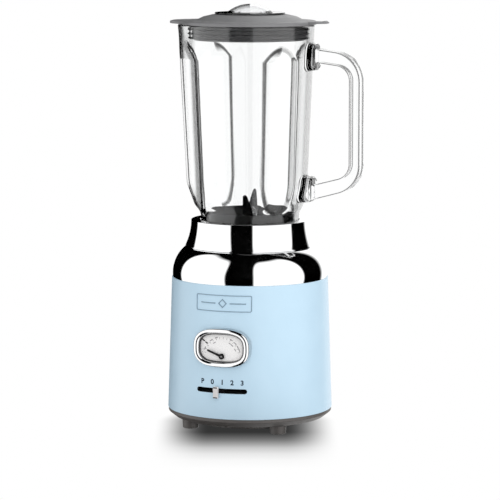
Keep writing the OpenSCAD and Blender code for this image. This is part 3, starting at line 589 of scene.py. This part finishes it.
STACK_Z = 195.0         # underside of the lowest blade
COLLAR_FOOT, COLLAR_TOP = 170.3, 195
collar_curve = arc(111.4, COLLAR_TOP, 56, 180 + 26.1, 180, 36)
collar_low = [(44, 158, 0.4), (46.9, 158, 0.4), (46.9, COLLAR_FOOT), (50.4, COLLAR_FOOT), (50.4, 173),
              (58.4, 173), (58.4, COLLAR_FOOT), (61.0, COLLAR_FOOT, 0.35), collar_curve[1]]
collar_high = [collar_curve[-2], (55.4, COLLAR_TOP, 0.9), (46.3, COLLAR_TOP, 0.6), (46.3, 176), (38, 176),
               (38, 172), (44, 172)]
collar = build("collar_ring", [lathe(
    rounded(collar_low, 5) + collar_curve[2:-2] + rounded(collar_high, 6)[1:], 320)], 28)
finish_piece(collar, CHROME, "jar_foot", "chrome_trim", "jar_collar")

dish = build("blade_dish", [lathe(rounded([
    (7, 168, 0.3), (9, 168, 0.3), (9, 177), (30, 176), (45.7, 176, 0.3), (45.7, 179, 0.3), (42.4, 179),
    (42.4, 203.6, 0.5), (41.4, 203.6, 0.5), (39.6, 181, 3), (14, 181, 3), (9.4, 187, 0.6), (7, 187, 0.3)], 6),
    192)], 30)
finish_piece(dish, DISH, "jar_foot", "dark_plastic", "blade_base")


def blade(z, turn, root, bend, shape):
    """Pair of arms, flat at the hub and then bent. shape lists (length, low, high) edges past the bend."""
    c, s = math.cos(math.radians(bend)), math.sin(math.radians(bend))
    fold = root - 0.4
    stations = [(-6.0, -5.0, 5.6), (0.0, -5.0, 5.6), (root - 1.2, -4.95, 4.95), (fold, -4.95, 4.95)]
    flat = len(stations)
    stations += [(fold + u, low, high) for u, low, high in shape]
    loops = []
    for k, (u, low, high) in enumerate(stations):
        x, lift = (u, 0.0) if k < flat else (fold + (u - fold) * c, (u - fold) * s)
        up = (0.0, 1.0) if k < flat else (-s, c)
        edge = min(1.5, (high - low) * 0.35)
        section = [(low, 0.25), (low + edge, 0.0), (high - edge, 0.0), (high, 0.25), (high - edge, 1.35),
                   (low + edge, 1.35)]
        loops.append([(x + up[0] * h, y, z + lift + up[1] * h) for y, h in section])
    return [moved(loft(loops), turn=turn + side) for side in (0, 180)]


UPRIGHT = [(1.5, -5.0, 5.0), (6, -5.0, 5.0), (17, -3.5, 3.5), (28.3, -2.0, 2.0), (28.8, -1.5, 1.5)]
CUTTING = [(1.5, -4.95, 4.9), (8.5, -5.5, 4.9), (11, -3.9, 4.3), (16, -0.2, 3.2), (18.8, 2.2, 2.55)]
for name, z, turn, root, bend, shape in (("upper_blade", STACK_Z + 3.6, 100, 8.5, 47.3, UPRIGHT),
                                         ("middle_blade", STACK_Z + 1.8, 48, 11, 5, CUTTING),
                                         ("lower_blade", STACK_Z, -22, 11, -14, CUTTING)):
    piece = build("ground_" + name, blade(z, turn, root, bend, shape), 25)
    finish_piece(piece, BLADE, "blades", "blade_steel", name)

# ---------- glass jar ----------

# Each line lists (height, radius): the round body's, and that of the spout's lobe about an axis at -LOBE_X.
# A flute is cut by a leaning cylinder, whose axis passes FLUTE_FAR from the jar's axis at FLUTE_FOOT.
JAR_TOP = 378.0
BODY_LINE = [(160, 46), (198, 46), (203, 47.2), (207, 50.1), (229, 54.3), (345, 59.2), (378, 60.8),
             (400, 61.9)]
LOBE_LINE = [(160, 10), (196, 16), (203, 20.5), (207, 25.6), (229, 33.9), (345, 39.8), (368, 40.6),
             (378, 41.6), (400, 43.8)]
LOBE_X = 28
WALL = ((199, 209), (3.2, 3.8))
FLUTES = (-147.0, -40.0, 40.0, 147.0)
FLUTE_FAR, FLUTE_FOOT, FLUTE_LEAN = 99.3, 229, 0.04224
FLUTE_R, FLUTE_TOP = 50, 345.5


def eased(z, points, spread=2.5):
    """Interpolated value with its corners eased over a short height."""
    zs, vs = zip(*points)
    return sum(np.interp(z + spread * k / 3, zs, vs) for k in range(-3, 4)) / 7


def circle_reach(radius, centre, theta, side):
    """Whether rays at angles theta meet a circle about a point on angle 0, and how far off its side is.

    A side of -1 is the near one, and 1 is the far one.
    """
    inside = radius ** 2 - (centre * np.sin(theta)) ** 2
    return inside > 0, centre * np.cos(theta) + side * np.sqrt(np.maximum(inside, 0))


def flute_wall(theta, z, angle, wall):
    """Radius of the glass in a flute, or 999 away from it, and the angle from the flute's middle."""
    far = FLUTE_FAR + FLUTE_LEAN * (z - FLUTE_FOOT)
    cutter = FLUTE_R + wall - np.maximum(0.0, z - FLUTE_TOP) * 6 / 14
    off = (theta - math.radians(angle) + math.pi) % (2 * math.pi) - math.pi
    met, near = circle_reach(cutter, far, off, -1)
    return np.where(met & (np.abs(off) < 1), near, 999), off


def jar_r(theta, z, wall):
    """Radius of the glass at an angle and height; wall moves it inwards, towards the hollow."""
    ease = 1.4 if wall == 0 else 3.2
    body = eased(z, BODY_LINE) - wall
    met, lobe = circle_reach(eased(z, LOBE_LINE) - wall, -LOBE_X, theta, 1)
    lobe = np.where(met, lobe, 0)
    gap = np.maximum(4.0 - np.abs(body - lobe), 0) / 4.0
    r = np.maximum(body, lobe) + gap * gap
    for angle in FLUTES:
        near, _ = flute_wall(theta, z, angle, wall)
        gap = np.maximum(ease - np.abs(r - near), 0) / ease
        r = np.minimum(r, near) - gap * gap * ease / 4
    return r


def jar_angles():
    """Angles round the jar, closest together along the flutes' edges."""
    out = []
    a = -180.0
    while a < 180.0:
        out.append(a)
        nearest = min(abs((a - f + 180) % 360 - 180) for f in FLUTES)
        a += 0.35 if 14.2 < nearest < 18.6 else 0.9 if nearest < 14.2 else 1.5
    return np.radians(np.array(out))


ANGLES = jar_angles()


def jar_ring(z, wall, inset=0.0):
    """Loop round the glass at a height."""
    r = jar_r(ANGLES, z, wall) + inset
    return [(a * math.cos(t), a * math.sin(t), z) for a, t in zip(r, ANGLES)]


# Heights of the loops, closest together where a flute begins and ends
outer_z = np.concatenate([np.linspace(*span) for span in (
    (182, 198, 5), (199, 212, 14), (214, 229, 8), (234, 342, 19), (344, 359, 31), (361, 376, 7))])
inner_z = np.concatenate([np.linspace(*span) for span in (
    (376, 362, 6), (359, 344, 21), (338, 232, 16), (228, 196, 17), (188, 182, 2))])


thin, thick = WALL[1]


def top_ring(angle, radius, wall, side):
    """Loop on the round top edge of the glass; side is 1 outside and -1 inside."""
    return jar_ring(JAR_TOP - radius + radius * math.sin(angle), wall, side * radius * (math.cos(angle) - 1))


loops = [jar_ring(181.0, 0, -0.9), jar_ring(181.25, 0, -0.3)] + [jar_ring(z, 0) for z in outer_z]
loops += [top_ring(a, 1.4, 0, 1) for a in np.radians((0, 25, 50, 75, 90))]
loops += [top_ring(a, 1.2, thick, -1) for a in np.radians((90, 65, 35, 0))]
loops += [jar_ring(z, float(np.interp(z, *WALL))) for z in inner_z] + [jar_ring(181.0, thin, 0.5)]
jar = build("fluted_jar", [loft(loops, looped=True)], 80)

# The handle's sides, from the upper boss round to the lower one, as matched outer and inner points
BAR_OUT, BAR_IN = 110.4, 99.8
BEND_OUT, BEND_IN = 28, 14
HANDLE_HALF, HANDLE_ROUND = 8.5, 1.8


def handle_side(start, top_z, low_z, end, bar_x, bend):
    """Side of the handle, out from the upper boss, down the bar and back to the lower boss."""
    top = arc(bar_x - bend, top_z, bend, 90 - 7.5, 0, 16)
    low = arc(bar_x - bend, low_z, bend, 0, -75, 16)
    return (straight(start, top[0], 6) + top + straight(top[-1], low[0], 12)[1:] + low
            + straight(low[-1], end, 6)[1:] + [end])


side_out = handle_side((57.4, 357.9), 326.6, 249.9, (52.0, 212.6), BAR_OUT, BEND_OUT)
side_in = handle_side((57.4, 345.3), 327.4, 250.3, (52.0, 226.9), BAR_IN, BEND_IN)


def handle_section(outside, inside):
    """Rounded section across the handle between an outer and an inner point."""
    o, i = np.array(outside), np.array(inside)
    deep = float(np.linalg.norm(o - i))
    out = []
    for u, y in rounded_rect(deep, 2 * HANDLE_HALF, min(HANDLE_ROUND, deep / 2 - 0.2), 5, 3):
        p = i + (o - i) * (u / deep + 0.5)
        out.append((p[0], y, p[1]))
    return out


handle = build("handle_tool", [loft([handle_section(o, i) for o, i in zip(side_out, side_in)])])


def boss(z, height, reach):
    """Block that joins the handle to the glass, flared at its root inside the wall and rounded at its front.

    Each step is a share of the way from the root to the front, a distance past that, and how much smaller
    the outline is than the whole block's.
    """
    loops = []
    steps = ((0, 0, -1.6), (0.3, 0, -0.8), (0.6, 0, -0.3), (0.8, 0, 0.0), (1, -2.2, 0.3), (1, -1.0, 0.9),
             (1, -0.3, 1.8), (1, 0, 3.0))
    for share, past, shrink in steps:
        loop = []
        for y, v in rounded_rect(22 - 2 * shrink, height - 2 * shrink, 6 - max(shrink, -1) * 0.6, 8, 5):
            root = eased(z + v, BODY_LINE) - 1.6
            loop.append((root + (reach - root) * share + past, y, z + v))
        loops.append(loop)
    return loft(loops)


bosses = [build("boss_tool", [boss(348.8, 24.3, 67.5)]), build("boss_tool", [boss(225.3, 23.3, 64)])]
combine(jar, [handle] + bosses, "UNION", 42)


def glass_painted_lines(x, y, z):
    """Painted dark lines, by how near points are to a flute's edge or a corner of the handle, and whether
    points are on the wall, where edge-on shade is painted.
    """
    r, theta = np.hypot(x, y), np.arctan2(y, x)
    body = eased(z, BODY_LINE)
    wall = np.where(r > jar_r(theta, z, 1.0), 0.0, np.interp(z, *WALL))
    amount = np.zeros(len(x))
    for angle in FLUTES:
        near, off = flute_wall(theta, z, angle, wall)
        by_spout = abs(angle) > 90
        # The painted dark line on the edge away from the spout or the handle is drawn in full, and on the
        # flute's round top with it
        full = off * angle * (-1 if by_spout else 1) > 0
        fine = (wall > 0) | (full & (angle < -90))
        edge = np.clip(1.7 - 1.7 * np.abs(body - wall - near) / np.where(fine, 0.9, 1.35), 0, 1)
        edge = edge * np.where(full, 1.0, 0.0 if by_spout else 0.5)
        top = np.where((near < body - wall) & full, 0.9 * np.clip((z - 350) / 5, 0, 1), 0)
        amount = np.maximum(amount, np.maximum(edge, top))
    corner = np.clip(1.8 - 1.8 * np.abs(np.abs(y) - 7.95) / 0.5, 0, 1) * (x > 70)
    grip = (x > body + 1.0) & (np.abs(y) < 12)
    return np.where(grip, corner, amount), np.where(grip, 0.0, 1.0)


# Painted shade on the jar: dark lines along flute edges and handle corners, and edge-on darkening of its wall
mark_painted_shade(jar, glass_painted_lines)
finish_piece(jar, GLASS, "jar", "jar_glass", "glass_jar")

# ---------- lid and cap ----------

RIM = 378.3
LID_R, LID_TIP = 62.5, 79.45            # the round edge, and the furthest that the lid reaches
TIP_X, TIP_R = 65.5, 14.0               # the round tip over the spout
WING_X, WING_Y = 74, 10                 # corner where the wing's slanted side meets the tip
SLANT = (43.0, 44.0)                    # direction square to the slanted side
BLEND = 3.0


def lid_reach(theta):
    """Edge of the lid at an angle: a circle with a wing over the spout."""
    back, s = -math.cos(theta), math.sin(theta)
    inside = TIP_R ** 2 - (TIP_X * s) ** 2
    tip = TIP_X * back + math.sqrt(inside) if inside > 0 and back > 0 else 0.0
    wing = 0.0
    if back > 0 and abs(s) / max(back, 1e-6) < 53 / 30:
        wing = (SLANT[0] * WING_X + SLANT[1] * WING_Y) / (SLANT[0] * back + SLANT[1] * abs(s))
        wing = min(wing, WING_X / back)
    wing = max(wing, tip)
    mix = max(BLEND - abs(LID_R - wing), 0) / BLEND
    return min(max(LID_R, wing) + mix * mix * BLEND / 4, LID_TIP)


lid_profile = rounded([
    (20.6, RIM + 7, 0.4), (20.6, RIM + 9.7, 0.5), (35, RIM + 9.3, 6), (44, RIM + 7.2, 5), (50, RIM + 4.3, 3),
    (61.2, RIM + 3.4, 0.8), (LID_R, RIM + 2.4, 0.7), (LID_R, RIM, 0.5), (52.6, RIM), (52.6, 364, 0.6),
    (50.4, 364, 0.6), (50.4, RIM + 1, 1), (44, RIM + 4.4, 3), (35, RIM + 6.6, 4)], 6)
ROUND_R = 54.0          # within this radius the lid is round, and past it the profile stretches to the edge
lid_loops = []
for r, z in lid_profile:
    loop = []
    for t in (2 * math.pi * k / 256 for k in range(256)):
        stretch = (lid_reach(t) - ROUND_R) / (LID_R - ROUND_R)
        q = r if r < ROUND_R or z < RIM - 0.1 else ROUND_R + (r - ROUND_R) * stretch
        loop.append((q * math.cos(t), q * math.sin(t), z))
    lid_loops.append(loop)
tab_outline = [(50, -11), (58, -11)] + arc(66.6, 0, 11, -90, 90, 24) + [(58, 11), (50, 11)]


def tab_loop(d, z):
    """The tab's outline drawn in by about d towards its middle, at a height."""
    return [(x + (62 - x) * d / 11, y * (1 - d / 11), z) for x, y in tab_outline]


tab = loft([tab_loop(d, RIM + up) for d, up in ((0.6, 1.6), (0, 2.0), (0, 2.9), (0.25, 3.25), (0.7, 3.4))])
rib_angles = np.radians(range(0, 360, 30))
rib = loft([[(74 + q * math.cos(a), y, RIM + 3.4 + 0.8 * q * math.sin(a)) for a in rib_angles]
            for y, q in ((-6, 0.2), (-5.7, 0.7), (-5, 1), (5, 1), (5.7, 0.7), (6, 0.2))])
lid = build("lid_cover", [loft(lid_loops, looped=True), tab, rib], 32)
finish_piece(lid, LID, "lid", "lid_plastic", "lid")

fins = [(52.6, 365)]
for z in (365, 369, 373):
    fins += [(54, z), (55.7, z + 0.5), (55.9, z + 0.9), (55.7, z + 1.3), (54, z + 1.6)]
fins += [(54, 375), (52.6, 375)]
seal = build("lid_seal_fins", [lathe(fins, 192)], 30)
finish_piece(seal, SEAL, "lid", "lid_rubber", "lid_seal")

CAP_Z, CAP_R, DOME_Z = 388.3, 33, 363.9
cap = build("clear_cap", [lathe(
    rounded([(CAP_R, CAP_Z, 0.4), (CAP_R, CAP_Z + 1.2, 0.5), (21.9, CAP_Z + 1.2)], 5)[0:-1]
    + arc(0, DOME_Z, 33.4, 49.6, 89.9, 20) + arc(0, DOME_Z, 31.8, 89.9, 55, 14)
    + rounded([(18.3, 371, 0.6), (20.2, 371, 0.6), (20.2, CAP_Z)], 4), 160)], 36)


def cap_painted_lines(x, y, z):
    """Painted dark lines, by how near points are to the flange's edge or the foot of the dome; all of the cap
    counts as wall, so all of it takes painted edge-on shade.
    """
    r = np.hypot(x, y)
    edge = np.maximum(1 - np.abs(r - CAP_R + 0.2) / 0.7, (1 - np.abs(r - 21.6) / 1.3) * (z > CAP_Z))
    return np.clip(1.5 * edge, 0, 1), np.ones(len(x))


# Painted shade on the cap: dark lines at the flange's edge and the foot of the dome
mark_painted_shade(cap, cap_painted_lines)
finish_piece(cap, CLEAR, "cap", "clear_plastic", "measuring_cap")

# ---------- stage ----------

VIEW_AZIMUTH = 20.0        # degrees from -Y towards +X


def grey_ramp(tree, value, stops):
    """Grey by a value from 0 to 1, through (place, grey) stops."""
    ramp = node(tree, "ShaderNodeValToRGB", {"Fac": value})
    elements = ramp.color_ramp.elements
    for element, (place, grey) in zip(elements, (stops[0], stops[-1])):
        element.position = place
        element.color = (grey, grey, grey, 1)
    for place, grey in stops[1:-1]:
        elements.new(place).color = (grey, grey, grey, 1)
    return ramp.outputs["Color"]


def floor_look():
    """White floor with a soft shadow painted on it by place, towards the viewer's side of the feet."""
    material = bpy.data.materials.new("floor_white")
    material.use_nodes = True
    tree = material.node_tree
    tree.nodes.clear()
    turn = math.radians(VIEW_AZIMUTH)

    def maths(operation, a, b=0.0):
        return node(tree, "ShaderNodeMath", {0: a, 1: b}, operation=operation).outputs[0]

    def along(x, y, shift):
        place = node(tree, "ShaderNodeNewGeometry").outputs["Position"]
        dot = node(tree, "ShaderNodeVectorMath", {0: place, 1: (x, y, 0)}, operation="DOT_PRODUCT")
        return maths("ADD", dot.outputs["Value"], shift)

    forward = along(math.sin(turn), -math.cos(turn), 0.0)
    across = along(math.cos(turn), math.sin(turn), 0.004)
    behind = maths("MINIMUM", forward, 0.0)
    reach = maths("SQRT", maths("ADD", maths("MULTIPLY", across, across), maths("MULTIPLY", behind, behind)))
    sides = node(tree, "ShaderNodeMapRange", {"Value": reach, "From Min": 0.034, "From Max": 0.087,
                                              "To Min": 1.0, "To Max": 0.0}, interpolation_type="SMOOTHSTEP")
    front = 0.22
    fading = ((0.0, 0.78), (0.05, 0.78), (0.087, 0.53), (0.124, 0.215), (0.151, 0.09), (0.18, 0.025),
              (0.215, 0.0))
    depth = grey_ramp(tree, maths("DIVIDE", forward, front), [(at / front, value) for at, value in fading])
    shade = maths("SUBTRACT", 1.0, maths("MULTIPLY", sides.outputs["Result"], depth))
    bright = maths("POWER", shade, 2.2)
    glow = node(tree, "ShaderNodeEmission", {"Color": bright, "Strength": 1.0})
    node(tree, "ShaderNodeOutputMaterial", {"Surface": glow.outputs[0]})
    return material


scene = bpy.context.scene
floor_mesh = bpy.data.meshes.new("floor")
floor_mesh.from_pydata([(-6, -6, 0), (6, -6, 0), (6, 6, 0), (-6, 6, 0)], [], [(0, 1, 2, 3)])
floor = bpy.data.objects.new("floor", floor_mesh)
scene.collection.objects.link(floor)
floor.data.materials.append(floor_look())
floor.visible_glossy = False
floor.visible_transmission = False

world = bpy.data.worlds.new("studio")
scene.world = world
world.use_nodes = True
tree = world.node_tree
tree.nodes.clear()
direction = node(tree, "ShaderNodeTexCoord").outputs["Generated"]
split = node(tree, "ShaderNodeSeparateXYZ", {"Vector": direction})


def math_node(operation, a, b=0.0):
    return node(tree, "ShaderNodeMath", {0: a, 1: b}, operation=operation).outputs[0]


# Azimuth from -Y towards +X, as a share of a turn, with the camera's side in the middle
azimuth = math_node("ARCTAN2", split.outputs["X"], math_node("MULTIPLY", split.outputs["Y"], -1.0))
share = math_node("FRACT", math_node("ADD", math_node("MULTIPLY", azimuth, 1 / (2 * math.pi)),
                                     0.5 - VIEW_AZIMUTH / 360))


def azimuth_ramp(stops):
    """Grey by azimuth, through stops in degrees from the camera's side."""
    return grey_ramp(tree, share, [((degrees + 180) / 360, grey) for degrees, grey in stops])


def light(color, strength):
    return node(tree, "ShaderNodeBackground", {"Color": color, "Strength": strength}).outputs[0]


def choose(flag, otherwise, chosen):
    """The chosen light where the flag is 1, and the other where it is 0."""
    return node(tree, "ShaderNodeMixShader", {0: flag, 1: otherwise, 2: chosen}).outputs[0]


def below(low, high, colour, otherwise):
    """The colour for directions lower than a height, turning to the other one above it."""
    part = node(tree, "ShaderNodeMapRange", {"Value": split.outputs["Z"], "From Min": low, "From Max": high,
                                             "To Min": 0.0, "To Max": 1.0}).outputs["Result"]
    return node(tree, "ShaderNodeMix", {0: part, 6: colour, 7: otherwise}, data_type="RGBA").outputs[2]


def softbox(middle, half, top):
    """White panel with rounded corners, about an azimuth in degrees and up to a height."""
    aside = math_node("DIVIDE", math_node("SUBTRACT", share, 0.5 + middle / 360), half / 360)
    up = math_node("DIVIDE", split.outputs["Z"], top)
    size = math_node("ADD", math_node("POWER", math_node("ABSOLUTE", aside), 6.0),
                     math_node("POWER", math_node("ABSOLUTE", up), 6.0))
    return node(tree, "ShaderNodeMapRange", {"Value": size, "From Min": 0.75, "From Max": 1.1,
                                             "To Min": 1.0, "To Max": 0.0}).outputs["Result"]


# What mirrors show, what clear glass shows, what lights matt surfaces, and what the camera sees
behind = azimuth_ramp([(-180, 0.0), (130, 0.0), (138, 1.0), (180, 1.0)])
panels = math_node("MAXIMUM", softbox(-81, 43.5, 0.88), softbox(46.5, 42, 0.88))
mirror_light = light(math_node("MAXIMUM", behind, panels), 1.15)
walls = azimuth_ramp([(-180, 1.0), (-160, 1.0), (-150, 0.86), (-100, 0.86), (-80, 1.0), (100, 1.0),
                      (120, 0.86), (140, 0.86), (155, 1.0), (180, 1.0)])
clear_light = light(below(0.5, 0.62, walls, (0.3, 0.3, 0.3, 1)), 1.05)
soft_light = light(azimuth_ramp([
    (-180, 0.6), (-130, 0.35), (-80, 0.5), (-35, 0.8), (15, 1.7), (60, 1.5), (100, 1.0), (180, 0.6)]), 1.05)
white = light((1, 1, 1, 1), 1.0)
ray = node(tree, "ShaderNodeLightPath").outputs
bounced = node(tree, "ShaderNodeMath", {0: ray["Glossy Depth"], 1: 1.0, 2: 0.3}, operation="COMPARE")
lit = choose(ray["Is Glossy Ray"], soft_light, mirror_light)
lit = choose(ray["Is Transmission Ray"], lit, clear_light)
lit = choose(bounced.outputs[0], lit, mirror_light)
lit = choose(ray["Is Camera Ray"], lit, white)
node(tree, "ShaderNodeOutputWorld", {"Surface": lit})

scene.view_settings.view_transform = "Standard"
scene.view_settings.look = "None"

# ---------- camera ----------

VIEW_PITCH, VIEW_DISTANCE = 7.3, 2.6
target = Vector((0, 0, 0.1653))
pitch, turn = math.radians(VIEW_PITCH), math.radians(VIEW_AZIMUTH)
away = Vector((math.sin(turn) * math.cos(pitch), -math.cos(turn) * math.cos(pitch), math.sin(pitch)))
camera = bpy.data.objects.new("camera", bpy.data.cameras.new("camera"))
scene.collection.objects.link(camera)
camera.location = target + away * VIEW_DISTANCE
camera.rotation_euler = (-away).to_track_quat("-Z", "Y").to_euler()
camera.data.lens = 198
camera.data.sensor_width = 36
scene.camera = camera
